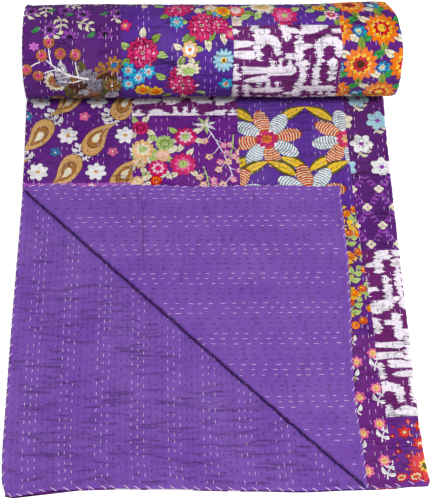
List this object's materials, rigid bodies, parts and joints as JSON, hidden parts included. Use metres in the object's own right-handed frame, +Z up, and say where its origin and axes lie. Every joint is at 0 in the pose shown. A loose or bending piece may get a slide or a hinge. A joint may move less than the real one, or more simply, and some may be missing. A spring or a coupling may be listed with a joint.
{
  "type": "kantha quilt",
  "caption": "Patchwork kantha quilt with a plain backing, folded lengthwise, its far end rolled up and its front corner turned back over a diagonal.",
  "frame": {"origin": "centre of the bounding box's bottom face, on the surface that the quilt lies on", "axes": "+Z up; +Y from the near hem to the roll; +X to the right of someone who looks at the quilt from its near hem, towards the lengthwise fold"},
  "size_m": [0.7838, 1.0364, 0.2073],
  "materials": {
    "printed_cloth": "matte printed cotton patches with running stitch",
    "plain_cloth": "matte plain violet cotton with running stitch"
  },
  "bodies": {
    "root": {"patchwork_face": "printed_cloth", "backing": "plain_cloth", "rolled_length": "printed_cloth"}
  },
  "joints": []
}
